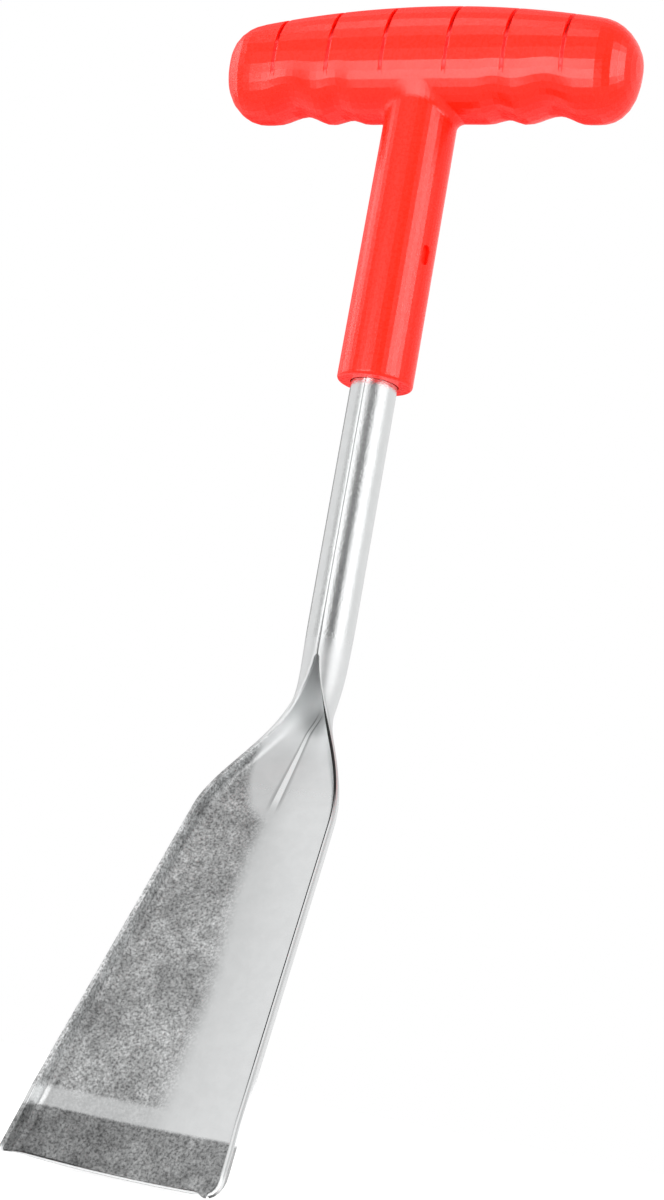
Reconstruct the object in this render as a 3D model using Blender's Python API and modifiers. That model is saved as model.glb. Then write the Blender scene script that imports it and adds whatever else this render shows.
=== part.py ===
"""A T-grip hand shovel: one pressed steel blade rolled into its own shank, in a moulded plastic handle.

Units are metres, +Z runs up the shank to the handle, X runs along the grip and the concave side
of the blade faces -Y.
"""

import math

import bmesh
import bpy
from mathutils import Vector

MM = 0.001

# Sheet and shank
SHEET_THICKNESS = 1.4 * MM
SHANK_DIAMETER = 14.0 * MM
SEAM_GAP = 0.15 * MM
SHANK_INSERTION = 55.0 * MM

# Blade, measured down from the neck where the rolled shank has opened into a trough
BLADE_LENGTH = 135.0 * MM
BLADE_END_WIDTH = 63.8 * MM
BLADE_SIDE_TAPER = math.radians(5.95)
BLADE_BEND = math.radians(28.6)
BLADE_BEND_START = 8.1 * MM
NECK_LENGTH = 51.8 * MM
NECK_ABOVE = 14.8 * MM
NECK_PINCH = 4.0 * MM
NECK_PINCH_BELOW = 12.0 * MM
NECK_PINCH_SPREAD = 14.2 * MM
SLOT_LENGTH = 12.0 * MM
SLOT_WIDTH = 3.2 * MM
FLANGE_HEIGHT = 6.2 * MM
FLANGE_LEAN = 1.3 * MM
FLANGE_BEND_RADIUS = 2.6 * MM
DISH_DEPTH = 1.8 * MM
VALLEY_DEPTH = 4.5 * MM
CORNER_RADIUS = 6.5 * MM
EDGE_BOW = 1.0 * MM
LIP_LENGTH = 12.5 * MM
LIP_TILT = math.radians(2.5)
LIP_BAND = 5.0 * MM
LIP_BAND_TILT = math.radians(6.0)

# Handle
SOCKET_MOUTH_HEIGHT = 95.8 * MM
GRIP_HEIGHT = 196.9 * MM
SOCKET_CLEARANCE = 0.3 * MM
STEM_MOUTH_DIAMETER = 22.9 * MM
STEM_TOP_DIAMETER = 22.4 * MM
STEM_EDGE_ROUND = 1.0 * MM
STEM_FILLET = 2.4 * MM
GRIP_LENGTH = 133.0 * MM
GRIP_CROWN = 18.9 * MM
GRIP_CROWN_AT_ENDS = 11.4 * MM
GRIP_UNDERSIDE = 16.2 * MM
GRIP_UNDERSIDE_AT_ENDS = 16.9 * MM
GRIP_HALF_DEPTH = 14.4 * MM
GRIP_HALF_DEPTH_AT_ENDS = 13.2 * MM
GRIP_DOME_LENGTH = 12.0 * MM
GRIP_SQUARENESS = 2.35
NEAR_GROOVE_OUT = 25.9 * MM
NEAR_GROOVE_DEPTH = 1.6 * MM
NEAR_GROOVE_WIDTH = 13.0 * MM
FAR_GROOVE_OUT = 41.7 * MM
FAR_GROOVE_DEPTH = 3.0 * MM
FAR_GROOVE_WIDTH = 20.0 * MM
SLITS_EACH_SIDE = 3
FIRST_SLIT_OUT = 10.3 * MM
SLIT_PITCH = 18.2 * MM
SLIT_WIDTH = 1.3 * MM
SLIT_DEPTH = 2.6 * MM
RECESS_WIDTH = 3.0 * MM
RECESS_LENGTH = 6.2 * MM
RECESS_DEPTH = 1.2 * MM
RECESS_BELOW_GRIP = 61.3 * MM
RECESS_SIDE_ANGLE = math.radians(71)

SHANK_RADIUS = (SHANK_DIAMETER - SHEET_THICKNESS) / 2
BORE_RADIUS = SHANK_DIAMETER / 2 + SOCKET_CLEARANCE
STEM_MOUTH_RADIUS = STEM_MOUTH_DIAMETER / 2
STEM_TOP_RADIUS = STEM_TOP_DIAMETER / 2
GRIP_HALF = GRIP_LENGTH / 2

FLOOR_STEPS = 8
BEND_STEPS = 4
FLANGE_STEPS = 2
GRIP_SEGMENTS = 36
STEM_SEGMENTS = 48


def smooth_step(value):
    value = min(max(value, 0.0), 1.0)
    return value * value * (3 - 2 * value)


def mix(first, second, share):
    return first + (second - first) * share


def make_material(name, colour, roughness, metallic):
    material = bpy.data.materials.new(name)
    material.use_nodes = True
    shader = material.node_tree.nodes["Principled BSDF"]
    shader.inputs["Base Color"].default_value = (*colour, 1.0)
    shader.inputs["Roughness"].default_value = roughness
    shader.inputs["Metallic"].default_value = metallic
    return material


def make_object(name, mesh, collection, parent=None, material=None):
    thing = bpy.data.objects.new(name, mesh)
    collection.objects.link(thing)
    thing.parent = parent
    if material:
        mesh.materials.append(material)
    return thing


def smooth(mesh, angle):
    mesh.shade_smooth()
    mesh.set_sharp_from_angle(angle=angle)


# Blade: a section across the sheet at each height, from the middle of its back out to its edge.
# Points are (across, forward), so forward is -Y in the scene.


def straight_half_width(below):
    """From the middle of the sheet on one side to the tool's middle plane."""
    end = (BLADE_END_WIDTH - SHEET_THICKNESS) / 2
    return end - (BLADE_LENGTH - below) * math.tan(BLADE_SIDE_TAPER)


def forward_of_plane(below):
    """How far the blade's edges lie in front of the shank's axis."""
    lip_start = BLADE_LENGTH - LIP_LENGTH
    band_start = lip_start - LIP_BAND
    forward = (min(below, band_start) + BLADE_BEND_START) * math.tan(BLADE_BEND)
    forward += min(max(below - band_start, 0.0), LIP_BAND) * math.tan(BLADE_BEND - LIP_BAND_TILT)
    return forward + max(below - lip_start, 0.0) * math.tan(BLADE_BEND - LIP_TILT)


def slot_half_width(below):
    """Half of the opening between the rolled sheet's two edges."""
    seam = SEAM_GAP / 2
    radius = SLOT_WIDTH / 2
    into = below + SLOT_LENGTH
    if into <= 0:
        return seam
    if into >= radius:
        return radius
    return max(seam, math.sqrt(radius**2 - (radius - into) ** 2))


def rolled_section(below, shares):
    edge_angle = math.pi - math.asin(slot_half_width(below) / SHANK_RADIUS)
    return [
        Vector((SHANK_RADIUS * math.sin(edge_angle * share), -SHANK_RADIUS * math.cos(edge_angle * share)))
        for share in shares
    ]


def blade_section(below):
    half = straight_half_width(below)
    foot = half - FLANGE_LEAN
    edge = forward_of_plane(below)
    floor_edge = edge - FLANGE_HEIGHT
    fade = smooth_step((below - NECK_LENGTH / 4) / NECK_LENGTH)
    depth = mix(VALLEY_DEPTH, DISH_DEPTH, fade)
    power = mix(1.2, 2.0, fade)

    def floor(across):
        return floor_edge - depth * (1 - (across / foot) ** power)

    bend_start = foot - FLANGE_BEND_RADIUS
    points = [
        Vector((bend_start * step / FLOOR_STEPS, floor(bend_start * step / FLOOR_STEPS)))
        for step in range(FLOOR_STEPS + 1)
    ]
    start = points[-1]
    corner = Vector((foot, floor_edge))
    end = corner.lerp(Vector((half, edge)), FLANGE_BEND_RADIUS / FLANGE_HEIGHT)
    for step in range(1, BEND_STEPS + 1):
        along = step / BEND_STEPS
        points.append(start.lerp(corner, along).lerp(corner.lerp(end, along), along))
    for step in range(1, FLANGE_STEPS + 1):
        points.append(end.lerp(Vector((half, edge)), step / FLANGE_STEPS))
    return points


def lengths_along(points):
    total = [0.0]
    for first, second in zip(points, points[1:]):
        total.append(total[-1] + (second - first).length)
    return total


def point_at(points, distance):
    total = lengths_along(points)
    for step in range(1, len(points)):
        if distance <= total[step] or step == len(points) - 1:
            share = (distance - total[step - 1]) / (total[step] - total[step - 1])
            return points[step - 1].lerp(points[step], share)


def half_section(below):
    blade = blade_section(max(below, -SLOT_LENGTH))
    total = lengths_along(blade)
    shares = [length / total[-1] for length in total]
    rolled = rolled_section(below, shares)
    opened = smooth_step((below + NECK_ABOVE) / NECK_LENGTH)
    pinch = NECK_PINCH * math.exp(-(((below - NECK_PINCH_BELOW) / NECK_PINCH_SPREAD) ** 2))
    floor_opened = smooth_step((below + SLOT_LENGTH / 12) / (NECK_LENGTH / 4))
    points = []
    for share, tube, flat in zip(shares, rolled, blade):
        height = mix(mix(tube.y, flat.y, floor_opened), mix(tube.y, flat.y, opened), share)
        across = mix(tube.x, flat.x, opened) - pinch * math.sin(math.pi * share)
        points.append(Vector((across, height)))
    return points


def blade_rows():
    """Heights below the neck, closer together where the shape changes."""
    top = SOCKET_MOUTH_HEIGHT + SHANK_INSERTION
    rows = [-top, -SLOT_LENGTH - SLOT_WIDTH]
    for step in range(6):
        rows.append(-SLOT_LENGTH + SLOT_WIDTH / 2 * (1 - math.cos(step / 5 * math.pi / 2)))
    neck_steps = 22
    start = rows[-1]
    end = NECK_LENGTH * 1.2
    rows += [mix(start, end, step / neck_steps) for step in range(1, neck_steps + 1)]
    plain_steps = 7
    lip_start = BLADE_LENGTH - LIP_LENGTH
    band_start = lip_start - LIP_BAND
    bend = LIP_BAND / 5
    rows += [mix(end, band_start - bend, step / plain_steps) for step in range(1, plain_steps + 1)]
    rows += [band_start + bend, lip_start - bend, lip_start + bend]
    corner_start = BLADE_LENGTH - CORNER_RADIUS * math.cos(BLADE_BEND)
    corner_steps = 9
    for step in range(corner_steps + 1):
        rows.append(mix(corner_start, BLADE_LENGTH, math.sin(step / corner_steps * math.pi / 2)))
    return rows


def trimmed_reach(below, reach):
    """How much of a half section is left beside the rounded lower corner."""
    from_end = (BLADE_LENGTH - below) / math.cos(BLADE_BEND)
    if from_end >= CORNER_RADIUS:
        return reach
    return reach - CORNER_RADIUS + math.sqrt(CORNER_RADIUS**2 - (CORNER_RADIUS - from_end) ** 2)


def make_blade(collection, parent, material):
    mesh = bpy.data.meshes.new("blade_and_shank")
    sheet = bmesh.new()
    grid = []
    for below in blade_rows():
        points = half_section(below)
        total = lengths_along(points)
        reach = trimmed_reach(below, total[-1])
        half = [point_at(points, length / total[-1] * reach) for length in total]
        bow = EDGE_BOW * smooth_step(1 - (BLADE_LENGTH - below) / (LIP_LENGTH * 2))
        ring = []
        for side in (-1, 1):
            columns = reversed(half) if side < 0 else half[1:]
            for point in columns:
                drop = bow * (1 - (point.x / half[-1].x) ** 2)
                ring.append(sheet.verts.new((side * point.x, -point.y, BLADE_LENGTH - below - drop)))
        grid.append(ring)
    for upper, lower in zip(grid, grid[1:]):
        for left in range(len(upper) - 1):
            sheet.faces.new((upper[left], lower[left], lower[left + 1], upper[left + 1]))
    sheet.to_mesh(mesh)
    sheet.free()
    blade = make_object("blade_and_shank", mesh, collection, parent, material)
    shell = blade.modifiers.new("Sheet", "SOLIDIFY")
    shell.thickness = SHEET_THICKNESS
    shell.offset = 0
    shell.use_even_offset = True
    smooth(mesh, math.radians(50))
    return blade


# Grip: a barrel along X whose top is crowned and whose underside has finger grooves


def groove_at(across):
    """How deep the two soft finger grooves on each side of the stem are here."""
    depth = 0.0
    for out, deepest, width in (
        (NEAR_GROOVE_OUT, NEAR_GROOVE_DEPTH, NEAR_GROOVE_WIDTH),
        (FAR_GROOVE_OUT, FAR_GROOVE_DEPTH, FAR_GROOVE_WIDTH),
    ):
        off = min(abs(abs(across) - out) / (width / 2), 1.0)
        depth += deepest * (0.5 + 0.5 * math.cos(off * math.pi))
    return depth


def grip_radii(across):
    """Crown height, underside depth and half depth of the grip's section."""
    share = abs(across) / GRIP_HALF
    dome_start = GRIP_HALF - GRIP_DOME_LENGTH
    into_dome = max(abs(across) - dome_start, 0.0) / GRIP_DOME_LENGTH
    dome = max(1 - into_dome**GRIP_SQUARENESS, 0.0) ** (1 / GRIP_SQUARENESS)
    crown = mix(GRIP_CROWN, GRIP_CROWN_AT_ENDS, share**2.0)
    underside = mix(GRIP_UNDERSIDE, GRIP_UNDERSIDE_AT_ENDS, share) - groove_at(across)
    depth = mix(GRIP_HALF_DEPTH, GRIP_HALF_DEPTH_AT_ENDS, share**2)
    return crown * dome, underside * dome, depth * dome


def grip_underside_at(across, forward):
    crown, underside, depth = grip_radii(across)
    inside = 1 - min(abs(forward) / depth, 1.0) ** GRIP_SQUARENESS
    return -underside * inside ** (1 / GRIP_SQUARENESS)


def rounded(value):
    return math.copysign(abs(value) ** (2 / GRIP_SQUARENESS), value)


def grip_stations():
    dome_start = GRIP_HALF - GRIP_DOME_LENGTH
    dome_steps = 8
    body_steps = 26
    outer = [
        dome_start + GRIP_DOME_LENGTH * math.sin(step / dome_steps * math.pi / 2)
        for step in range(1, dome_steps)
    ]
    body = [dome_start * step / body_steps for step in range(body_steps + 1)]
    half = body + outer
    return [-station for station in reversed(half[1:])] + half


def make_grip(collection, parent, material):
    mesh = bpy.data.meshes.new("t_handle")
    shape = bmesh.new()
    rings = []
    for across in grip_stations():
        crown, underside, depth = grip_radii(across)
        ring = []
        for step in range(GRIP_SEGMENTS):
            angle = 2 * math.pi * step / GRIP_SEGMENTS
            tall = crown if math.cos(angle) > 0 else underside
            height = GRIP_HEIGHT + BLADE_LENGTH + tall * rounded(math.cos(angle))
            ring.append(shape.verts.new((across, -depth * rounded(math.sin(angle)), height)))
        rings.append(ring)
    for first, second in zip(rings, rings[1:]):
        for step in range(GRIP_SEGMENTS):
            after = (step + 1) % GRIP_SEGMENTS
            shape.faces.new((first[step], second[step], second[after], first[after]))
    for side, ring in ((-1, rings[0]), (1, rings[-1])):
        tip = shape.verts.new((side * GRIP_HALF, 0, GRIP_HEIGHT + BLADE_LENGTH))
        for step in range(GRIP_SEGMENTS):
            after = (step + 1) % GRIP_SEGMENTS
            shape.faces.new((ring[step], ring[after], tip))
    bmesh.ops.recalc_face_normals(shape, faces=shape.faces)
    shape.to_mesh(mesh)
    shape.free()
    return make_object("t_handle", mesh, collection, parent, material)


def make_stem(cutters, parent):
    """The stem's outside, with the fillet that follows the grip's underside round the joint."""
    mesh = bpy.data.meshes.new("stem_shape")
    shape = bmesh.new()
    grip_middle = GRIP_HEIGHT + BLADE_LENGTH
    mouth = SOCKET_MOUTH_HEIGHT + BLADE_LENGTH
    fillet_steps = 5
    edge_steps = 4
    columns = []
    for step in range(STEM_SEGMENTS):
        angle = 2 * math.pi * step / STEM_SEGMENTS
        path = []
        for turn in range(edge_steps + 1):
            bend = turn / edge_steps * math.pi / 2
            radius = STEM_MOUTH_RADIUS - STEM_EDGE_ROUND * (1 - math.sin(bend))
            path.append((radius, mouth + STEM_EDGE_ROUND * (1 - math.cos(bend))))
        for turn in range(fillet_steps + 1):
            bend = turn / fillet_steps * math.radians(80)
            radius = STEM_TOP_RADIUS + STEM_FILLET * (1 - math.cos(bend))
            surface = grip_underside_at(radius * math.cos(angle), radius * math.sin(angle))
            path.append((radius, grip_middle + surface - STEM_FILLET * (1 - math.sin(bend))))
        path.append((path[-1][0] - STEM_FILLET, grip_middle + STEM_FILLET))
        columns.append(
            [shape.verts.new((r * math.cos(angle), -r * math.sin(angle), z)) for r, z in path]
        )
    for step, column in enumerate(columns):
        after = columns[(step + 1) % STEM_SEGMENTS]
        for level in range(len(column) - 1):
            shape.faces.new((column[level], after[level], after[level + 1], column[level + 1]))
    shape.faces.new([column[0] for column in columns])
    shape.faces.new([column[-1] for column in reversed(columns)])
    bmesh.ops.recalc_face_normals(shape, faces=shape.faces)
    shape.to_mesh(mesh)
    shape.free()
    return make_helper("stem_shape", mesh, cutters, parent)


def make_helper(name, mesh, cutters, parent):
    helper = make_object(name, mesh, cutters, parent)
    helper.hide_render = True
    helper.display_type = "WIRE"
    return helper


def make_turned(name, profile, axis, steps, cutters, parent):
    """A closed profile of (radius, height) points turned about an axis."""
    mesh = bpy.data.meshes.new(name)
    edges = [(point, (point + 1) % len(profile)) for point in range(len(profile))]
    mesh.from_pydata([(radius, 0, height) for radius, height in profile], edges, [])
    helper = make_helper(name, mesh, cutters, parent)
    turn = helper.modifiers.new("Turn", "SCREW")
    turn.axis = "Z"
    turn.steps = steps
    turn.render_steps = steps
    turn.use_merge_vertices = True
    turn.merge_threshold = 0.00001
    if axis == "X":
        helper.rotation_euler = (0, math.radians(90), 0)
    return helper


def make_bore(cutters, parent):
    depth = SHANK_INSERTION + STEM_EDGE_ROUND * 2
    mesh = bpy.data.meshes.new("socket_bore")
    shape = bmesh.new()
    overrun = STEM_EDGE_ROUND * 2
    bmesh.ops.create_cone(
        shape,
        cap_ends=True,
        segments=STEM_SEGMENTS,
        radius1=BORE_RADIUS,
        radius2=BORE_RADIUS,
        depth=depth + overrun,
    )
    shape.to_mesh(mesh)
    shape.free()
    bore = make_helper("socket_bore", mesh, cutters, parent)
    bore.location.z = BLADE_LENGTH + SOCKET_MOUTH_HEIGHT + (depth - overrun) / 2
    return bore


def make_slit(across, cutters, parent):
    """A ring set low and shaped like the grip's section, so that it cuts only over the top."""
    crown, underside, depth = grip_radii(across)
    fall = SLIT_DEPTH * 1.5
    inner = crown + fall - SLIT_DEPTH
    outer = crown * 1.5
    half = SLIT_WIDTH / 2
    profile = [(outer, half), (outer, -half), (inner, -half), (inner, half)]
    ring = make_turned("slit_ring", profile, "X", 64, cutters, parent)
    ring.location = (across, 0, BLADE_LENGTH + GRIP_HEIGHT - fall)
    ring.scale = (1, depth / crown, 1)
    return ring


def make_recess(cutters, parent):
    """A round-ended pocket on the stem's side."""
    outline = bpy.data.curves.new("recess_outline", "CURVE")
    outline.dimensions = "2D"
    outline.fill_mode = "BOTH"
    outline.extrude = RECESS_DEPTH
    half_straight = (RECESS_LENGTH - RECESS_WIDTH) / 2
    radius = RECESS_WIDTH / 2
    spline = outline.splines.new("POLY")
    points = []
    turns = 8
    for end in (1, -1):
        for turn in range(turns + 1):
            angle = turn / turns * math.pi
            points.append((end * radius * math.cos(angle), end * (half_straight + radius * math.sin(angle))))
    spline.points.add(len(points) - 1)
    for point, (along, up) in zip(spline.points, points):
        point.co = (along, up, 0, 1)
    spline.use_cyclic_u = True
    guide = bpy.data.objects.new("recess_outline", outline)
    cutters.objects.link(guide)
    bpy.context.view_layer.update()
    mesh = bpy.data.meshes.new_from_object(guide.evaluated_get(bpy.context.evaluated_depsgraph_get()))
    bpy.data.objects.remove(guide)
    shape = bmesh.new()
    shape.from_mesh(mesh)
    bmesh.ops.remove_doubles(shape, verts=shape.verts, dist=0.000001)
    bmesh.ops.recalc_face_normals(shape, faces=shape.faces)
    shape.to_mesh(mesh)
    shape.free()
    recess = make_helper("side_recess", mesh, cutters, parent)
    side = RECESS_SIDE_ANGLE
    reach = STEM_TOP_RADIUS
    recess.location = (
        reach * math.sin(side),
        -reach * math.cos(side),
        BLADE_LENGTH + GRIP_HEIGHT - RECESS_BELOW_GRIP,
    )
    recess.rotation_euler = (math.radians(90), 0, side)
    return recess


def join(target, other, operation):
    step = target.modifiers.new(other.name, "BOOLEAN")
    step.operation = operation
    step.solver = "EXACT"
    step.object = other


def applied(thing):
    """The object's evaluated mesh in place of its modifiers."""
    bpy.context.view_layer.update()
    graph = bpy.context.evaluated_depsgraph_get()
    mesh = bpy.data.meshes.new_from_object(thing.evaluated_get(graph))
    thing.modifiers.clear()
    thing.data = mesh
    return mesh


def make_handle(collection, cutters, parent, material):
    handle = make_grip(collection, parent, material)
    for number in range(SLITS_EACH_SIDE):
        across = FIRST_SLIT_OUT + number * SLIT_PITCH
        for side in (-1, 1):
            join(handle, make_slit(side * across, cutters, parent), "DIFFERENCE")
    join(handle, make_stem(cutters, parent), "UNION")
    join(handle, make_bore(cutters, parent), "DIFFERENCE")
    join(handle, make_recess(cutters, parent), "DIFFERENCE")
    smooth(applied(handle), math.radians(38))
    return handle


def centre_on_floor(root, pieces):
    """Moves the whole tool so that its box stands on z = 0, centred over the origin."""
    bpy.context.view_layer.update()
    graph = bpy.context.evaluated_depsgraph_get()
    corners = []
    for piece in pieces:
        shown = piece.evaluated_get(graph)
        corners += [shown.matrix_world @ Vector(corner) for corner in shown.bound_box]
    low = [min(corner[axis] for corner in corners) for axis in range(3)]
    high = [max(corner[axis] for corner in corners) for axis in range(3)]
    root.location = (-(low[0] + high[0]) / 2, -(low[1] + high[1]) / 2, -low[2])


def main():
    for thing in list(bpy.data.objects):
        bpy.data.objects.remove(thing)
    pieces = bpy.data.collections.new("hand_shovel")
    cutters = bpy.data.collections.new("cutters")
    bpy.context.scene.collection.children.link(pieces)
    bpy.context.scene.collection.children.link(cutters)
    root = bpy.data.objects.new("shank_axis", None)
    pieces.objects.link(root)
    red_plastic = make_material("red_plastic", (0.95, 0.035, 0.015), 0.28, 0.0)
    plated_steel = make_material("plated_steel", (0.72, 0.73, 0.74), 0.24, 1.0)
    handle = make_handle(pieces, cutters, root, red_plastic)
    blade = make_blade(pieces, root, plated_steel)
    centre_on_floor(root, [handle, blade])


main()
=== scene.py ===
import math

import bmesh
import bpy
from mathutils import Matrix, Vector


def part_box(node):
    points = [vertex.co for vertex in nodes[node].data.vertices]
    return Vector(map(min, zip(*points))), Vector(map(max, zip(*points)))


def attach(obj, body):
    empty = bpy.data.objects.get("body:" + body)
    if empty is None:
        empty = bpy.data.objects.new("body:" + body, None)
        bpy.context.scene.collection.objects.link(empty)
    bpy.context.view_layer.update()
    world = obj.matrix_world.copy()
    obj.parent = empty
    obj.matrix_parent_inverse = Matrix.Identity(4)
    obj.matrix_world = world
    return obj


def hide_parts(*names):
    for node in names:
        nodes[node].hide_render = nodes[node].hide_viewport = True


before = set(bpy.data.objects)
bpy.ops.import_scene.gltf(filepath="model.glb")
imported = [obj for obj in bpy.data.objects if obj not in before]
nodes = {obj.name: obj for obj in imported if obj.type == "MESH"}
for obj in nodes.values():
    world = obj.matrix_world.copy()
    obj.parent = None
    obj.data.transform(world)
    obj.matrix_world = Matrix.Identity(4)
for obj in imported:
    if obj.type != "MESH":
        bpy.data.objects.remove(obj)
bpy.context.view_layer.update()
MM = 0.001

# Sizes of the pressed sheet, repeated from the part. Lengths down the blade start at the neck, and
# the shank's radius is the one at the middle of the sheet.

SHEET_THICKNESS = 1.4 * MM
SHANK_RADIUS = 6.3 * MM
SHANK_TOP_ABOVE_NECK = 150.8 * MM
BLADE_LENGTH = 135.0 * MM
BLADE_END_WIDTH = 63.8 * MM
BLADE_SIDE_TAPER = math.radians(5.95)
BLADE_BEND = math.radians(28.6)
BLADE_BEND_START = 8.1 * MM
NECK_LENGTH = 51.8 * MM
NECK_ABOVE = 14.8 * MM
NECK_PINCH = 4.0 * MM
NECK_PINCH_BELOW = 12.0 * MM
NECK_PINCH_SPREAD = 14.2 * MM
SLOT_LENGTH = 12.0 * MM
FLOOR_OPENS_ABOVE = SLOT_LENGTH / 12
FLOOR_OPENING_LENGTH = NECK_LENGTH / 4
VALLEY_FADES_BELOW = NECK_LENGTH / 4
VALLEY_POWER = 1.2
DISH_DEPTH = 1.8 * MM
DISH_POWER = 2.0
FLANGE_HEIGHT = 6.2 * MM
FLANGE_LEAN = 1.3 * MM
CORNER_RADIUS = 6.5 * MM
EDGE_BOW = 1.0 * MM
LIP_LENGTH = 12.5 * MM
LIP_TILT = math.radians(2.5)
LIP_BAND = 5.0 * MM
LIP_BAND_TILT = math.radians(6.0)
BOW_REACH = LIP_LENGTH * 2

# What the shown sheet has of its own: a finer seam, a narrower slot, a softer bend, a shallower
# valley, corners rounded as the photograph shows them, and a rounded rim

SEAM_HALF = 0.04 * MM
SLOT_WIDTH = 1.0 * MM
FLANGE_BEND_RADIUS = 3.4 * MM
VALLEY_DEPTH = 3.0 * MM
LEFT_CORNER_RADIUS = 1.5 * MM
CORNER_REACH = 1.6
CORNER_DROP_POWER = 0.7
EDGE_ROUND = 0.36 * MM
SEAM_ROUND = 0.03 * MM
RIM_OPENS_ABOVE = NECK_ABOVE * 2
RIM_SPLIT = 0.1 * MM
RIM_TURNS_IN_FRONT = (0, 30, 60)
RIM_TURNS_BEHIND = (120, 150, 180)

# How finely the sheet is divided, across it and along it

FLOOR_STEPS = 16
BEND_STEPS = 8
FLANGE_STEPS = 4
SHANK_ROWS = 12
NECK_ROWS = 140
BLADE_ROWS = 48
CORNER_ROWS = 6
NECK_ROWS_FROM = -24 * MM
NECK_ROWS_TO = 72 * MM

# Where the part stands in the frame

handle_low, handle_high = (Vector(corner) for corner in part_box("t_handle"))
blade_high = Vector(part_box("blade_and_shank")[1])
GRIP_CROWN = 18.9 * MM
AXIS_Y = (handle_low.y + handle_high.y) / 2
NECK_Z = blade_high.z - SHANK_TOP_ABOVE_NECK
GRIP_Z = handle_high.z - GRIP_CROWN

# Camera: the tool's own axes as the photograph shows them, each as right, up and towards the
# camera, and the point aimed at, with where the camera stands from it, in metres

IMAGE_HEIGHT = 1200
FOCAL_PIXELS = 2200
SENSOR_HEIGHT = 36
TOOL_RIGHT = Vector((0.90803, -0.08698, 0.40977))
TOOL_FRONT = Vector((-0.38202, 0.22942, 0.89523))
TOOL_UP = Vector((0.17187, 0.96943, -0.17509))
AIM_ABOVE_NECK = 0.10149
AIM_OFFSET = Vector((0.01359, 0.06943, 0.65476))

RIGHT, UP, TOWARDS = (
    Vector((TOOL_RIGHT[row], -TOOL_FRONT[row], TOOL_UP[row])) for row in range(3)
)


def make_camera():
    place = Vector((0, AXIS_Y, NECK_Z + AIM_ABOVE_NECK))
    place += RIGHT * -AIM_OFFSET.x + UP * -AIM_OFFSET.y + TOWARDS * AIM_OFFSET.z
    turn = Matrix((RIGHT, UP, TOWARDS)).transposed()
    data = bpy.data.cameras.new("photo_camera")
    data.sensor_fit = "VERTICAL"
    data.sensor_height = SENSOR_HEIGHT
    data.lens = FOCAL_PIXELS * SENSOR_HEIGHT / IMAGE_HEIGHT
    camera = bpy.data.objects.new("photo_camera", data)
    camera.matrix_world = Matrix.Translation(place) @ turn.to_4x4()
    bpy.context.scene.collection.objects.link(camera)
    bpy.context.scene.camera = camera


make_camera()


# Blade and shank: sections like the solid's with many more points, so that reflections run smoothly


def smooth_step(value):
    value = min(max(value, 0.0), 1.0)
    return value * value * (3 - 2 * value)


def mix(first, second, share):
    return first + (second - first) * share


def straight_half_width(below):
    end = (BLADE_END_WIDTH - SHEET_THICKNESS) / 2
    return end - (BLADE_LENGTH - below) * math.tan(BLADE_SIDE_TAPER)


def forward_of_plane(below):
    lip_start = BLADE_LENGTH - LIP_LENGTH
    band_start = lip_start - LIP_BAND
    in_band = min(max(below - band_start, 0.0), LIP_BAND)
    in_lip = max(below - lip_start, 0.0)
    forward = (min(below, band_start) + BLADE_BEND_START) * math.tan(BLADE_BEND)
    forward += in_band * math.tan(BLADE_BEND - LIP_BAND_TILT)
    return forward + in_lip * math.tan(BLADE_BEND - LIP_TILT)


def slot_half_width(below):
    radius = SLOT_WIDTH / 2
    into = below + SLOT_LENGTH
    if into <= 0:
        return SEAM_HALF
    if into >= radius:
        return radius
    return max(SEAM_HALF, math.sqrt(radius**2 - (radius - into) ** 2))


def rolled_section(below, shares):
    edge_angle = math.pi - math.asin(slot_half_width(below) / SHANK_RADIUS)
    angles = [edge_angle * share for share in shares]
    return [Vector((SHANK_RADIUS * math.sin(a), -SHANK_RADIUS * math.cos(a))) for a in angles]


def blade_section(below):
    half = straight_half_width(below)
    foot = half - FLANGE_LEAN
    edge = forward_of_plane(below)
    floor_edge = edge - FLANGE_HEIGHT
    fade = smooth_step((below - VALLEY_FADES_BELOW) / NECK_LENGTH)
    depth = mix(VALLEY_DEPTH, DISH_DEPTH, fade)
    power = mix(VALLEY_POWER, DISH_POWER, fade)
    bend_start = foot - FLANGE_BEND_RADIUS
    points = []
    for step in range(FLOOR_STEPS + 1):
        across = bend_start * step / FLOOR_STEPS
        points.append(Vector((across, floor_edge - depth * (1 - (across / foot) ** power))))
    start = points[-1]
    corner = Vector((foot, floor_edge))
    edge_point = Vector((half, edge))
    end = corner.lerp(edge_point, FLANGE_BEND_RADIUS / FLANGE_HEIGHT)
    for step in range(1, BEND_STEPS + 1):
        along = step / BEND_STEPS
        points.append(start.lerp(corner, along).lerp(corner.lerp(end, along), along))
    for step in range(1, FLANGE_STEPS + 1):
        points.append(end.lerp(edge_point, step / FLANGE_STEPS))
    return points


def lengths_along(points):
    total = [0.0]
    for first, second in zip(points, points[1:]):
        total.append(total[-1] + (second - first).length)
    return total


def point_at(points, distance):
    total = lengths_along(points)
    for step in range(1, len(points)):
        if distance <= total[step] or step == len(points) - 1:
            share = (distance - total[step - 1]) / (total[step] - total[step - 1])
            return points[step - 1].lerp(points[step], share)


def half_section(below):
    blade = blade_section(max(below, -SLOT_LENGTH))
    total = lengths_along(blade)
    shares = [length / total[-1] for length in total]
    rolled = rolled_section(below, shares)
    opened = smooth_step((below + NECK_ABOVE) / NECK_LENGTH)
    pinch = NECK_PINCH * math.exp(-(((below - NECK_PINCH_BELOW) / NECK_PINCH_SPREAD) ** 2))
    floor_opened = smooth_step((below + FLOOR_OPENS_ABOVE) / FLOOR_OPENING_LENGTH)
    points = []
    for share, tube, flat in zip(shares, rolled, blade):
        height = mix(mix(tube.y, flat.y, floor_opened), mix(tube.y, flat.y, opened), share)
        across = mix(tube.x, flat.x, opened) - pinch * math.sin(math.pi * share)
        points.append(Vector((across, height)))
    return points


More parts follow.
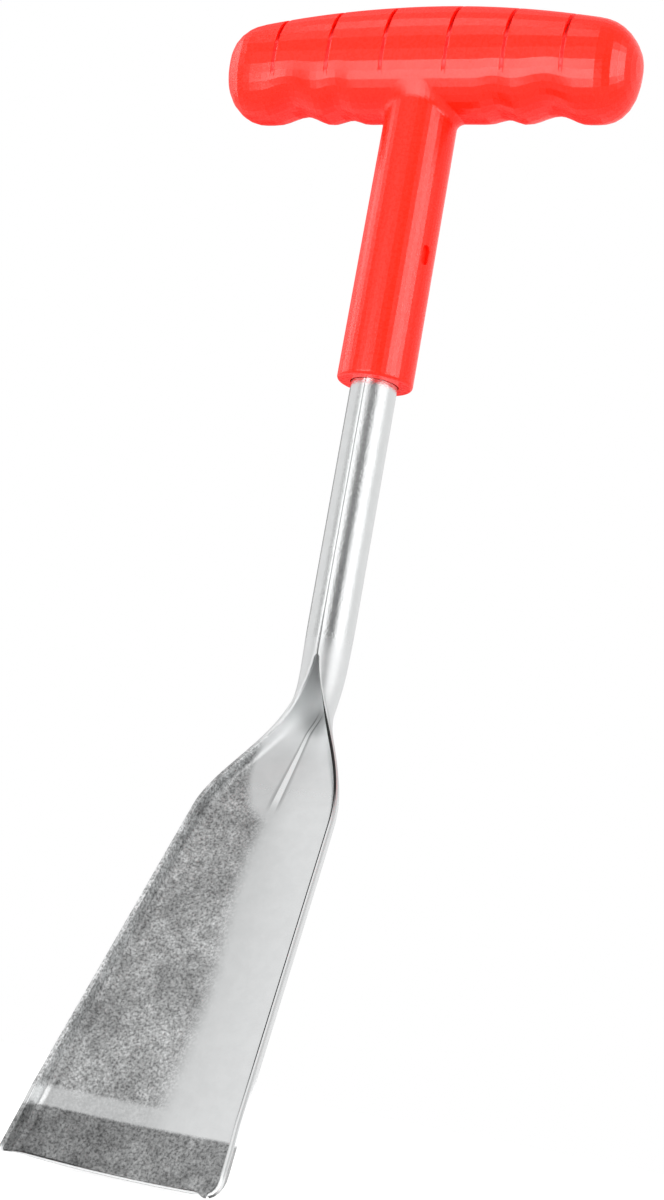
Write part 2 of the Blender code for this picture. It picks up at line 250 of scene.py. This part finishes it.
def blade_rows():
    """How far below the neck each row of points lies, from the shank's top to the digging edge."""
    corner_start = BLADE_LENGTH - CORNER_RADIUS * math.cos(BLADE_BEND)
    stretches = (
        (-SHANK_TOP_ABOVE_NECK, NECK_ROWS_FROM, SHANK_ROWS),
        (NECK_ROWS_FROM, NECK_ROWS_TO, NECK_ROWS),
        (NECK_ROWS_TO, corner_start, BLADE_ROWS),
    )
    rows = []
    for start, end, count in stretches:
        rows += [mix(start, end, step / count) for step in range(count)]
    for step in range(CORNER_ROWS + 1):
        rows.append(mix(corner_start, BLADE_LENGTH, math.sin(step / CORNER_ROWS * math.pi / 2)))
    return rows


def corner_inset(below, radius):
    """How far a corner of this radius draws the outline in, at this place along the blade."""
    from_end = (BLADE_LENGTH - below) / math.cos(BLADE_BEND)
    if from_end >= radius:
        return 0.0
    return radius - math.sqrt(radius**2 - (radius - from_end) ** 2)


def rounded_corner(points, below):
    """The right side's section, drawn in and down where the blade's corner is rounded."""
    inset = corner_inset(below, CORNER_RADIUS)
    reach = CORNER_RADIUS * CORNER_REACH
    start = points[-1].x - reach
    floor = min(point.y for point in points if point.x > start)
    drop = (inset / CORNER_RADIUS) ** CORNER_DROP_POWER
    rounded = []
    for point in points:
        if point.x > start:
            narrowed = start + (point.x - start) * (1 - inset / reach)
            point = Vector((min(point.x, narrowed), mix(point.y, floor, drop)))
        rounded.append(point)
    return rounded


def clamped(grid, row, column):
    return grid[min(max(row, 0), len(grid) - 1)][min(max(column, 0), len(grid[0]) - 1)]


def boundary_walk(rows, columns):
    """Every place on the edge of a grid once, in order round it."""
    walk = [(0, column) for column in range(columns - 1)]
    walk += [(row, columns - 1) for row in range(rows - 1)]
    walk += [(rows - 1, column) for column in range(columns - 1, 0, -1)]
    return walk + [(row, 0) for row in range(rows - 1, 0, -1)]


def middle_grid():
    """The sheet's middle surface as rows of places, with how far across and below each lies.

    Across runs from -1 at the left edge to 1 at the right, and below is in millimetres.
    """
    places, marks = [], []
    for below in blade_rows():
        points = half_section(below)
        total = lengths_along(points)
        reach = total[-1] - corner_inset(below, LEFT_CORNER_RADIUS)
        trimmed = [point_at(points, length / total[-1] * reach) for length in total]
        halves = {-1: trimmed, 1: rounded_corner(points, below)}
        bow = EDGE_BOW * smooth_step(1 - (BLADE_LENGTH - below) / BOW_REACH)
        columns = [(-1, step) for step in range(len(points) - 1, 0, -1)]
        columns += [(1, step) for step in range(len(points))]
        row = []
        for side, step in columns:
            point = halves[side][step]
            drop = bow * (1 - (point.x / points[-1].x) ** 2)
            row.append(Vector((side * point.x, AXIS_Y - point.y, NECK_Z - below - drop)))
        places.append(row)
        marks.append([(side * total[step] / total[-1], below / MM) for side, step in columns])
    return places, marks


def rim_profile(radius):
    """The rim from the sheet's front to its back: how far out and forward, and 1 on the front."""
    half = SHEET_THICKNESS / 2

    def rounded(turn):
        angle = math.radians(turn)
        forward = math.copysign(half - radius, math.cos(angle)) + radius * math.cos(angle)
        return radius * (math.sin(angle) - 1), forward

    profile = [(*rounded(turn), 1) for turn in RIM_TURNS_IN_FRONT]
    profile += [(0.0, half - radius, 1), (0.0, -RIM_SPLIT, 0)]
    return profile + [(*rounded(turn), 0) for turn in RIM_TURNS_BEHIND]


# What the sheet's faces are made of, and which material each strip of the rim takes from front to
# back, the rim's materials carrying painted shadow and highlight lines

SHEET_SLOTS = 4
FACE, RIM, INNER_BURR, OUTER_BURR = range(SHEET_SLOTS)
RIM_STRIP_SLOTS = (INNER_BURR,) * 3 + (RIM,) + (OUTER_BURR,) * 3
SHEET_MARKS = ("across", "below", "inside")


def make_sheet():
    """The closed sheet: a front and a back grid, joined by the rounded rim all round."""
    places, marks = middle_grid()
    rows, columns = len(places), len(places[0])
    walk = boundary_walk(rows, columns)
    along_rim = {}
    for step, (row, column) in enumerate(walk):
        before, after = walk[step - 1], walk[(step + 1) % len(walk)]
        along_rim[row, column] = places[after[0]][after[1]] - places[before[0]][before[1]]
    sheet = bmesh.new()
    layers = [sheet.verts.layers.float.new(name) for name in SHEET_MARKS]

    def vertex(place, mark, inside):
        made = sheet.verts.new(place)
        for layer, value in zip(layers, (*mark, inside)):
            made[layer] = value
        return made

    def rim_vertices(row, column, normal):
        place, mark = places[row][column], marks[row][column]
        away = along_rim[row, column].cross(normal).normalized()
        inner = places[min(max(row, 1), rows - 2)][min(max(column, 1), columns - 2)]
        if away.dot(place - inner) < 0:
            away.negate()
        opened = smooth_step((mark[1] * MM + RIM_OPENS_ABOVE) / NECK_ABOVE)
        return [
            vertex(place + away * out + normal * forward, mark, inside)
            for out, forward, inside in rim_profile(mix(SEAM_ROUND, EDGE_ROUND, opened))
        ]

    half = SHEET_THICKNESS / 2
    fronts, backs, profiles = [], [], {}
    for row in range(rows):
        front_row, back_row = [], []
        for column in range(columns):
            place, mark = places[row][column], marks[row][column]
            down = clamped(places, row + 1, column) - clamped(places, row - 1, column)
            right = clamped(places, row, column + 1) - clamped(places, row, column - 1)
            normal = down.cross(right).normalized()
            if (row, column) in along_rim:
                profile = profiles[row, column] = rim_vertices(row, column, normal)
                front_row.append(profile[0])
                back_row.append(profile[-1])
            else:
                front_row.append(vertex(place + normal * half, mark, 1))
                back_row.append(vertex(place - normal * half, mark, 0))
        fronts.append(front_row)
        backs.append(back_row)
    for row in range(rows - 1):
        for column in range(columns - 1):
            for side, turn in ((fronts, 1), (backs, -1)):
                upper, lower = side[row], side[row + 1]
                ring = (upper[column], lower[column], lower[column + 1], upper[column + 1])
                sheet.faces.new(ring[::turn])
    for step, here in enumerate(walk):
        first, second = profiles[here], profiles[walk[(step + 1) % len(walk)]]
        for part, strip_slot in enumerate(RIM_STRIP_SLOTS):
            ring = (first[part], second[part], second[part + 1], first[part + 1])
            sheet.faces.new(ring).material_index = strip_slot
    bmesh.ops.recalc_face_normals(sheet, faces=sheet.faces)
    return sheet


def make_blade(materials):
    sheet = make_sheet()
    mesh = bpy.data.meshes.new("pressed_blade")
    sheet.to_mesh(mesh)
    sheet.free()
    mesh.shade_smooth()
    for material in materials:
        mesh.materials.append(material)
    blade = bpy.data.objects.new("pressed_blade", mesh)
    bpy.context.scene.collection.objects.link(blade)
    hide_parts("blade_and_shank")
    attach(blade, "root")


# Materials: short names for the nodes. Limits and results are pairs of numbers, and feed takes a
# plain number or another node's output.

RISING = (0, 1)
FALLING = (1, 0)


def new_material(name):
    material = bpy.data.materials.new(name)
    material.use_nodes = True
    tree = material.node_tree
    return material, tree, tree.nodes["Principled BSDF"]


def add(tree, kind, **settings):
    node = tree.nodes.new(kind)
    for name, value in settings.items():
        setattr(node, name, value)
    return node


def feed(tree, value, socket):
    if isinstance(value, (int, float)):
        socket.default_value = value
    else:
        tree.links.new(value, socket)


def noise(tree, coordinates, scale, detail, roughness):
    node = add(tree, "ShaderNodeTexNoise")
    node.inputs["Scale"].default_value = scale
    node.inputs["Detail"].default_value = detail
    node.inputs["Roughness"].default_value = roughness
    tree.links.new(coordinates, node.inputs["Vector"])
    return node.outputs["Fac"]


def scaled(tree, value, limits, results):
    """A smooth change from the first result to the second as value goes from limit to limit."""
    node = add(tree, "ShaderNodeMapRange", interpolation_type="SMOOTHSTEP")
    for name, number in zip(("From Min", "From Max", "To Min", "To Max"), (*limits, *results)):
        node.inputs[name].default_value = number
    tree.links.new(value, node.inputs["Value"])
    return node.outputs["Result"]


def attribute(tree, name):
    return add(tree, "ShaderNodeAttribute", attribute_name=name).outputs["Fac"]


def arithmetic(tree, operation, first, second=0.0):
    node = add(tree, "ShaderNodeMath", operation=operation)
    feed(tree, first, node.inputs[0])
    feed(tree, second, node.inputs[1])
    return node.outputs[0]


def times(tree, first, second):
    return arithmetic(tree, "MULTIPLY", first, second)


def larger(tree, first, second):
    return arithmetic(tree, "MAXIMUM", first, second)


def mixed(tree, share, first, second):
    """first where share is 0 and second where it is 1."""
    node = add(tree, "ShaderNodeMix", data_type="FLOAT")
    for name, value in (("Factor", share), ("A", first), ("B", second)):
        feed(tree, value, node.inputs[name])
    return node.outputs["Result"]


def zone(tree, value, limits, soft):
    """1 where value lies between the limits, fading over soft at both ends."""
    low, high = limits
    above = scaled(tree, value, (low - soft, low + soft), RISING)
    under = scaled(tree, value, (high - soft, high + soft), FALLING)
    return times(tree, above, under)


def bump(tree, height, strength, distance, normal=None, invert=False):
    node = add(tree, "ShaderNodeBump", invert=invert)
    feed(tree, strength, node.inputs["Strength"])
    node.inputs["Distance"].default_value = distance
    tree.links.new(height, node.inputs["Height"])
    if normal:
        tree.links.new(normal, node.inputs["Normal"])
    return node.outputs["Normal"]


# Plated steel. Names with BELOW are in millimetres below the neck and names with ACROSS run from -1
# at the left edge to 1 at the right. Noises are scale per metre, detail and roughness.

FINE_NOISE = (1350, 4, 0.65)
COARSE_NOISE = (260, 3, 0.6)
CLOUD_NOISE = (55, 2, 0.5)
NOISE_LIMITS = (0.3, 0.7)
CRACKLE_LIMITS = (0.3, 0.72)
CLOUD_LIMITS = (0.35, 0.65)

# The left half and the ground lip: dull crackled plating with a painted dark reflection over it,
# and between them a band with less of both, so lighter, which paints the reflection of a light. The
# half's inner edge moves across on the way down, and its top lies lower towards the middle, beside
# a clean tongue
LIP_BELOW = (BLADE_LENGTH - LIP_LENGTH) / MM
LIP_FADE_BELOW = (LIP_BELOW - 0.5, LIP_BELOW + 0.5)
BAND_BELOW = LIP_BELOW - LIP_BAND / MM
BAND_FADE_BELOW = (BAND_BELOW - 0.5, BAND_BELOW + 1)
BAND_DULL_AND_PAINTED_REFLECTION = 0.25
DULL_AND_PAINTED_REFLECTION_EDGE_BELOW = (45, 95)
DULL_AND_PAINTED_REFLECTION_EDGE_ACROSS = (-0.1, 0.12)
DULL_AND_PAINTED_REFLECTION_EDGE_FADE = (-0.13, 0.13)
TONGUE_ACROSS = (-1.0, -0.1)
TONGUE_BELOW = (15, 37)
TONGUE_FADE = (-2, 4)

# Tones of the crackled plating with its painted dark reflection, as shares of the light that it
# gives back, with painted light on the left flange, painted shade in its bend and a darker painted
# reflection on the lip
CRACKLE_AND_PAINTED_REFLECTION_TONES = (0.2, 0.66)
COARSE_TONES = (0.82, 1.2)
CLOUD_TONES = (0.85, 1.2)
FLANGE_FADE_ACROSS = (-0.93, -0.86)
FLANGE_PAINTED_LIGHT_TONE = 1.35
BEND_ACROSS = (-0.86, -0.76)
BEND_SOFT = 0.03
BEND_PAINTED_SHADE_TONE = 0.75
LIP_PAINTED_REFLECTION_TONE = 0.66

# Tones of the clean plating, the neck's hollow, which is brightened as painted light, and the
# valley's line, which is painted shade along a groove with a painted highlight along a ridge in it
CLEAN_TONES = (0.74, 0.77)
HOLLOW_FADE_BELOW = (8, 20)
HOLLOW_PAINTED_LIGHT_TONE = 0.97
VALLEY_OFF_CENTRE = 0.05
VALLEY_BELOW = (4, 34)
VALLEY_SOFT = 3
GROOVE_ACROSS = (0.05, 0.1)
GROOVE_PAINTED_SHADE_TONE = 0.5
RIDGE_ACROSS = (0.03, 0.05)
RIDGE_PAINTED_HIGHLIGHT_TONE = 1.0

CLEAN_ROUGHNESS = (0.12, 0.18)
DULL_ROUGHNESS = (0.26, 0.42)
NECK_ROUGHNESS = 0.42
NECK_FROM_BELOW = (-22, -12)
NECK_TO_BELOW = (16, 40)
HOLLOW_ROUGHNESS = 0.6

# The sheared edge along the right side and the digging edge, with painted lines on it: a painted
# shadow line on the rim and its inner side higher up, a painted highlight on the rim lower down,
# and a painted shade line on the outer side of the digging edge. Each gives where the tone changes
# on the way down, and the tones above and beneath that
RIGHT_EDGE_ACROSS = (-0.7, -0.4)
RIGHT_EDGE_BELOW = (-24, -16)
DIGGING_EDGE_BELOW = (132.5, 134.5)
EDGE_PAINTED_LINE_TONES = {
    "rim": ((26, 38), 0.05, 0.98),
    "inner": ((95, 125), 0.03, 0.75),
    "outer": (DIGGING_EDGE_BELOW, 0.72, 0.12),
}
EDGE_ROUGHNESS = 0.45

PLATE_TINT = {"Red": 0.985, "Green": 0.997, "Blue": 1.0}
PLATE_BUMP_DEPTH = 0.3 * MM
SHANK_END_BELOW = (-20, -5)
DULL_BUMP = 0.4
SHANK_BUMP = 0.3
CLEAN_BUMP = 0.03


def on_lip(tree, below):
    return scaled(tree, below, LIP_FADE_BELOW, RISING)


def dull_and_painted_reflection_share(tree, across, below):
    """1 where the plating is crackled and dull and takes a painted dark reflection: the blade's
    left half and the ground lip.
    """
    edge = mixed(tree, scaled(tree, below, DULL_AND_PAINTED_REFLECTION_EDGE_BELOW, RISING), *DULL_AND_PAINTED_REFLECTION_EDGE_ACROSS)
    left = scaled(tree, arithmetic(tree, "SUBTRACT", across, edge), DULL_AND_PAINTED_REFLECTION_EDGE_FADE, FALLING)
    tongue = mixed(tree, scaled(tree, across, TONGUE_ACROSS, RISING), *TONGUE_BELOW)
    past_tongue = scaled(tree, arithmetic(tree, "SUBTRACT", below, tongue), TONGUE_FADE, RISING)
    left = times(tree, left, past_tongue)
    band = scaled(tree, below, BAND_FADE_BELOW, (1, BAND_DULL_AND_PAINTED_REFLECTION))
    return larger(tree, times(tree, left, band), on_lip(tree, below))


def crackle_and_painted_reflection_tone(tree, across, below, fine, coarse, cloud):
    """Fine crackle in soft clouds, darkened as a painted dark reflection: painted light on the left
    flange, painted shade in its bend, and a darker painted reflection on the lip.
    """
    bend = zone(tree, across, BEND_ACROSS, BEND_SOFT)
    tone = scaled(tree, fine, CRACKLE_LIMITS, CRACKLE_AND_PAINTED_REFLECTION_TONES)
    tone = times(tree, tone, scaled(tree, coarse, NOISE_LIMITS, COARSE_TONES))
    tone = times(tree, tone, scaled(tree, cloud, CLOUD_LIMITS, CLOUD_TONES))
    tone = times(tree, tone, scaled(tree, across, FLANGE_FADE_ACROSS, (FLANGE_PAINTED_LIGHT_TONE, 1.0)))
    tone = times(tree, tone, mixed(tree, bend, 1.0, BEND_PAINTED_SHADE_TONE))
    return times(tree, tone, mixed(tree, on_lip(tree, below), 1.0, LIP_PAINTED_REFLECTION_TONE))


def clean_tone(tree, across, below, inside, hollow, coarse):
    """Almost even, but with painted light in the neck's hollow, and painted shade with a painted
    highlight in it along the line of the pressed valley.
    """
    off_valley = arithmetic(tree, "ADD", across, VALLEY_OFF_CENTRE)
    off_valley = arithmetic(tree, "ABSOLUTE", off_valley)
    along = times(tree, inside, zone(tree, below, VALLEY_BELOW, VALLEY_SOFT))
    groove = times(tree, along, scaled(tree, off_valley, GROOVE_ACROSS, FALLING))
    ridge = times(tree, along, scaled(tree, off_valley, RIDGE_ACROSS, FALLING))
    tone = scaled(tree, coarse, NOISE_LIMITS, CLEAN_TONES)
    tone = mixed(tree, groove, tone, GROOVE_PAINTED_SHADE_TONE)
    tone = mixed(tree, ridge, tone, RIDGE_PAINTED_HIGHLIGHT_TONE)
    beside_line = times(tree, hollow, arithmetic(tree, "SUBTRACT", 1.0, groove))
    return mixed(tree, beside_line, tone, HOLLOW_PAINTED_LIGHT_TONE)


def plate_roughness(tree, below, dull_and_painted_reflection, hollow, fine):
    from_top = scaled(tree, below, NECK_FROM_BELOW, RISING)
    neck = times(tree, from_top, scaled(tree, below, NECK_TO_BELOW, FALLING))
    clean = mixed(tree, neck, scaled(tree, fine, NOISE_LIMITS, CLEAN_ROUGHNESS), NECK_ROUGHNESS)
    clean = mixed(tree, hollow, clean, HOLLOW_ROUGHNESS)
    return mixed(tree, dull_and_painted_reflection, clean, scaled(tree, fine, NOISE_LIMITS, DULL_ROUGHNESS))


def edge_painted_lines_and_roughness(tree, kind, across, below, tone, rough):
    """tone and rough as the sheared edge's painted shadow, highlight and shade lines change them
    along the right side and the digging edge.
    """
    limits, upper, lower = EDGE_PAINTED_LINE_TONES[kind]
    edge_tone = mixed(tree, scaled(tree, below, limits, RISING), upper, lower)
    right = scaled(tree, across, RIGHT_EDGE_ACROSS, RISING)
    right = times(tree, right, scaled(tree, below, RIGHT_EDGE_BELOW, RISING))
    edge = larger(tree, right, scaled(tree, below, DIGGING_EDGE_BELOW, RISING))
    return mixed(tree, edge, tone, edge_tone), mixed(tree, edge, rough, EDGE_ROUGHNESS)


def steel(name, kind=None):
    """Zinc plate, for the faces or for one kind of edge: the sheared rim or a line beside it, which
    carry painted shadow, highlight and shade lines.
    """
    material, tree, shader = new_material(name)
    place = add(tree, "ShaderNodeTexCoord").outputs["Object"]
    across, below, inside = (attribute(tree, mark) for mark in SHEET_MARKS)
    fine = noise(tree, place, *FINE_NOISE)
    coarse = noise(tree, place, *COARSE_NOISE)
    cloud = noise(tree, place, *CLOUD_NOISE)
    dull_and_painted_reflection = dull_and_painted_reflection_share(tree, across, below)
    hollow = times(tree, inside, scaled(tree, below, HOLLOW_FADE_BELOW, FALLING))
    clean = clean_tone(tree, across, below, inside, hollow, coarse)
    tone = mixed(tree, dull_and_painted_reflection, clean, crackle_and_painted_reflection_tone(tree, across, below, fine, coarse, cloud))
    rough = plate_roughness(tree, below, dull_and_painted_reflection, hollow, fine)
    if kind:
        tone, rough = edge_painted_lines_and_roughness(tree, kind, across, below, tone, rough)
    colour = add(tree, "ShaderNodeCombineColor")
    for channel, share in PLATE_TINT.items():
        tree.links.new(times(tree, tone, share), colour.inputs[channel])
    on_shank = scaled(tree, below, SHANK_END_BELOW, FALLING)
    roughened = larger(tree, times(tree, dull_and_painted_reflection, DULL_BUMP), times(tree, on_shank, SHANK_BUMP))
    strength = arithmetic(tree, "ADD", roughened, CLEAN_BUMP)
    shader.inputs["Metallic"].default_value = 1.0
    tree.links.new(colour.outputs["Color"], shader.inputs["Base Color"])
    tree.links.new(rough, shader.inputs["Roughness"])
    tree.links.new(bump(tree, fine, strength, PLATE_BUMP_DEPTH), shader.inputs["Normal"])
    return material


# Red plastic, with the fine grooves that run from the grip's cut slits down over its front, cut in
# as bumps and darkened with painted shade

GRAIN_NOISE = (900, 3, 0.5)
GRAIN_BUMP = 0.04
GRAIN_DEPTH = 0.2 * MM
RED = (0.95, 0.0095, 0.003, 1)
# Painted shade: the red darkened in the fine grooves
RED_PAINTED_GROOVE_SHADE = (0.4, 0.003, 0.002, 1)
RED_ROUGHNESS = (0.24, 0.32)
RED_SPECULAR = 0.2
RED_SUBSURFACE = 0.08
RED_SUBSURFACE_REACH = (0.002, 0.0004, 0.0003)
LINES_EACH_SIDE = 3
FIRST_LINE_OUT = 10.3 * MM
LINE_PITCH = 18.2 * MM
LINE_WIDTH = 1.5 * MM
LINE_BUMP = 0.6
LINE_DEPTH = 0.5 * MM
LINE_FADE = (LINE_WIDTH / 4, LINE_WIDTH / 2)
LINES_END_Y = (AXIS_Y - 2 * MM, AXIS_Y)
LINES_END_Z = (GRIP_Z - 8 * MM, GRIP_Z - 5 * MM)
HANDLE_SHARP_ANGLE = math.radians(40)


def finger_lines(tree, place):
    """1 on the fine grooves."""
    axes = add(tree, "ShaderNodeSeparateXYZ")
    tree.links.new(place, axes.inputs[0])
    across = arithmetic(tree, "ABSOLUTE", axes.outputs["X"])
    lines = 0.0
    for number in range(LINES_EACH_SIDE):
        off = arithmetic(tree, "SUBTRACT", across, FIRST_LINE_OUT + number * LINE_PITCH)
        off = arithmetic(tree, "ABSOLUTE", off)
        lines = larger(tree, scaled(tree, off, LINE_FADE, FALLING), lines)
    front = scaled(tree, axes.outputs["Y"], LINES_END_Y, FALLING)
    over = scaled(tree, axes.outputs["Z"], LINES_END_Z, RISING)
    return times(tree, lines, times(tree, front, over))


def red_plastic():
    material, tree, shader = new_material("red_plastic")
    place = add(tree, "ShaderNodeTexCoord").outputs["Object"]
    grain = noise(tree, place, *GRAIN_NOISE)
    lines = finger_lines(tree, place)
    shader.inputs["Specular IOR Level"].default_value = RED_SPECULAR
    shader.inputs["Subsurface Weight"].default_value = RED_SUBSURFACE
    shader.inputs["Subsurface Radius"].default_value = RED_SUBSURFACE_REACH
    colour = add(tree, "ShaderNodeMix", data_type="RGBA")
    colour.inputs["A"].default_value = RED
    colour.inputs["B"].default_value = RED_PAINTED_GROOVE_SHADE
    tree.links.new(lines, colour.inputs["Factor"])
    tree.links.new(colour.outputs["Result"], shader.inputs["Base Color"])
    tree.links.new(scaled(tree, grain, NOISE_LIMITS, RED_ROUGHNESS), shader.inputs["Roughness"])
    grained = bump(tree, grain, GRAIN_BUMP, GRAIN_DEPTH)
    cut = bump(tree, lines, LINE_BUMP, LINE_DEPTH, normal=grained, invert=True)
    tree.links.new(cut, shader.inputs["Normal"])
    return material


def dress_handle(material):
    handle = nodes["t_handle"]
    handle.data.materials.clear()
    handle.data.materials.append(material)
    handle.data.shade_smooth()
    handle.data.set_sharp_from_angle(angle=HANDLE_SHARP_ANGLE)


dress_handle(red_plastic())
sheet_materials = [None] * SHEET_SLOTS
sheet_materials[FACE] = steel("plated_steel")
# The rim's strips take painted shadow, highlight and shade lines along the right side and the
# digging edge
sheet_materials[RIM] = steel("plated_rim_painted_shadow_and_highlight", "rim")
sheet_materials[INNER_BURR] = steel("plated_inner_burr_painted_shadow", "inner")
sheet_materials[OUTER_BURR] = steel("plated_outer_burr_painted_shade", "outer")
make_blade(sheet_materials)


# Studio. The softboxes light the handle alone, and the metal takes its light from the world.

HANDLE_MIDDLE = Vector((0, AXIS_Y, 0.30))
# Degrees to the side and up from the camera's own direction, metres away, wide and high, and watts
SOFTBOXES = {
    "left_softbox": (-36, 2, 1.1, 0.75, 0.9, 20),
    "right_softbox": (50, 8, 1.3, 0.95, 0.9, 23),
    "side_softbox": (-108, 18, 1.0, 0.6, 0.9, 5),
    "top_softbox": (-56, 68, 0.9, 0.5, 0.3, 1.6),
}

FLOOR_SIZE = 1.0
FLOOR_DROP = 0.5 * MM
FLOOR_TONE = (0.9, 0.9, 0.9, 1)
FLOOR_ROUGHNESS = 0.9
FLOOR_GLOW = 0.6
WHITE = (1, 1, 1, 1)

# What the metal mirrors. Azimuths are in degrees round the photograph camera's up direction, from
# the direction towards it. The other limits are shares of a direction: SIDE, RISE and OUT along
# that camera's right, up and towards, and EAST and LEVEL along the frame's X and Z.

# The walls, and a ceiling that is greyer except at the far left
WALL_GLOW = 0.92
CEILING_GLOW = 0.75
HIGH_GLOW = 0.95
CEILING_RISE = (0.5, 0.65)
CEILING_EAST = (-0.58, -0.42)

WINDOW_GLOW = 1.5
WINDOW_SOFT = 4
LEFT_WINDOW_AZIMUTH = (-60, -15)
LEFT_WINDOW_RISE = (-0.5, 0.6)
LEFT_WINDOW_RISE_SOFT = 0.06
RIGHT_WINDOW_AZIMUTH = (20, 76)
RIGHT_WINDOW_LEVEL = (-0.25, 0.4)
RIGHT_WINDOW_LEVEL_SOFT = 0.05

# A dim gap to the left of the left window
GAP_GLOW = 0.4
GAP_AZIMUTH = (-81, -65)
GAP_SOFT = 3
GAP_RISE = (-0.3, 0.5)
GAP_RISE_SOFT = 0.1

# The dark strips: one ahead, between the windows and leaning with the shank, and one behind
DARK_GLOW = 0.22
STRIP_LEAN = 0.28
STRIP_LEFT = (-0.28, -0.2)
STRIP_RIGHT_SIDE = (0.34, 0.42)
STRIP_RISE = (-0.5, 0.52)
STRIP_RISE_SOFT = 0.06
STRIP_OUT = (-0.2, 0.2)
BEHIND_FROM_AZIMUTH = (166, 178)
BEHIND_TO_AZIMUTH = (-160, -148)
BEHIND_RISE = (-0.7, 0.7)
BEHIND_RISE_SOFT = 0.1


def softbox(name, lit, azimuth, elevation, distance, width, height, power):
    """An area light for some objects only, aimed at the handle's middle."""
    side = math.sin(math.radians(azimuth)) * math.cos(math.radians(elevation))
    rise = math.sin(math.radians(elevation))
    out = math.cos(math.radians(azimuth)) * math.cos(math.radians(elevation))
    place = HANDLE_MIDDLE + (RIGHT * side + UP * rise + TOWARDS * out) * distance
    data = bpy.data.lights.new(name, "AREA")
    data.shape = "RECTANGLE"
    data.size = width
    data.size_y = height
    data.energy = power
    light = bpy.data.objects.new(name, data)
    light.location = place
    light.rotation_euler = (HANDLE_MIDDLE - place).to_track_quat("-Z", "Y").to_euler()
    light.light_linking.receiver_collection = lit
    bpy.context.scene.collection.objects.link(light)


def make_floor():
    bpy.ops.mesh.primitive_plane_add(size=FLOOR_SIZE, location=(0, 0, -FLOOR_DROP))
    floor = bpy.context.object
    floor.name = "floor"
    material, tree, shader = new_material("pale_floor")
    shader.inputs["Base Color"].default_value = FLOOR_TONE
    shader.inputs["Roughness"].default_value = FLOOR_ROUGHNESS
    shader.inputs["Specular IOR Level"].default_value = 0.0
    shader.inputs["Emission Color"].default_value = WHITE
    shader.inputs["Emission Strength"].default_value = FLOOR_GLOW
    floor.data.materials.append(material)


def share_along(tree, direction, axis):
    node = add(tree, "ShaderNodeVectorMath", operation="DOT_PRODUCT")
    tree.links.new(direction, node.inputs[0])
    node.inputs[1].default_value = axis
    return node.outputs["Value"]


def make_world():
    """A white room for the metal to mirror. The camera itself sees it as plain white."""
    world = bpy.data.worlds.new("studio")
    bpy.context.scene.world = world
    world.use_nodes = True
    tree = world.node_tree
    direction = add(tree, "ShaderNodeTexCoord").outputs["Generated"]
    side, rise, out, east, level = (
        share_along(tree, direction, axis)
        for axis in (RIGHT, UP, TOWARDS, Vector((1, 0, 0)), Vector((0, 0, 1)))
    )
    azimuth = arithmetic(tree, "DEGREES", arithmetic(tree, "ARCTAN2", side, out))

    ceiling = mixed(tree, scaled(tree, east, CEILING_EAST, RISING), HIGH_GLOW, CEILING_GLOW)
    glow = mixed(tree, scaled(tree, rise, CEILING_RISE, RISING), WALL_GLOW, ceiling)

    left = zone(tree, azimuth, LEFT_WINDOW_AZIMUTH, WINDOW_SOFT)
    left = times(tree, left, zone(tree, rise, LEFT_WINDOW_RISE, LEFT_WINDOW_RISE_SOFT))
    right = zone(tree, azimuth, RIGHT_WINDOW_AZIMUTH, WINDOW_SOFT)
    right = times(tree, right, zone(tree, level, RIGHT_WINDOW_LEVEL, RIGHT_WINDOW_LEVEL_SOFT))
    glow = mixed(tree, larger(tree, left, right), glow, WINDOW_GLOW)

    gap = zone(tree, azimuth, GAP_AZIMUTH, GAP_SOFT)
    gap = times(tree, gap, zone(tree, rise, GAP_RISE, GAP_RISE_SOFT))
    glow = mixed(tree, gap, glow, GAP_GLOW)

    leaning = arithmetic(tree, "ADD", side, times(tree, rise, STRIP_LEAN))
    ahead = scaled(tree, leaning, STRIP_LEFT, RISING)
    ahead = times(tree, ahead, scaled(tree, side, STRIP_RIGHT_SIDE, FALLING))
    reach = zone(tree, rise, STRIP_RISE, STRIP_RISE_SOFT)
    ahead = times(tree, ahead, times(tree, reach, scaled(tree, out, STRIP_OUT, RISING)))
    from_right = scaled(tree, azimuth, BEHIND_FROM_AZIMUTH, RISING)
    behind = larger(tree, from_right, scaled(tree, azimuth, BEHIND_TO_AZIMUTH, FALLING))
    behind = times(tree, behind, zone(tree, rise, BEHIND_RISE, BEHIND_RISE_SOFT))
    glow = mixed(tree, larger(tree, ahead, behind), glow, DARK_GLOW)

    seen = add(tree, "ShaderNodeLightPath").outputs["Is Camera Ray"]
    background = tree.nodes["Background"].inputs
    tree.links.new(larger(tree, glow, seen), background["Strength"])
    background["Color"].default_value = WHITE


make_floor()
make_world()
handle_only = bpy.data.collections.new("handle_only")
handle_only.objects.link(nodes["t_handle"])
for name, placing in SOFTBOXES.items():
    softbox(name, handle_only, *placing)
bpy.context.scene.view_settings.view_transform = "Standard"
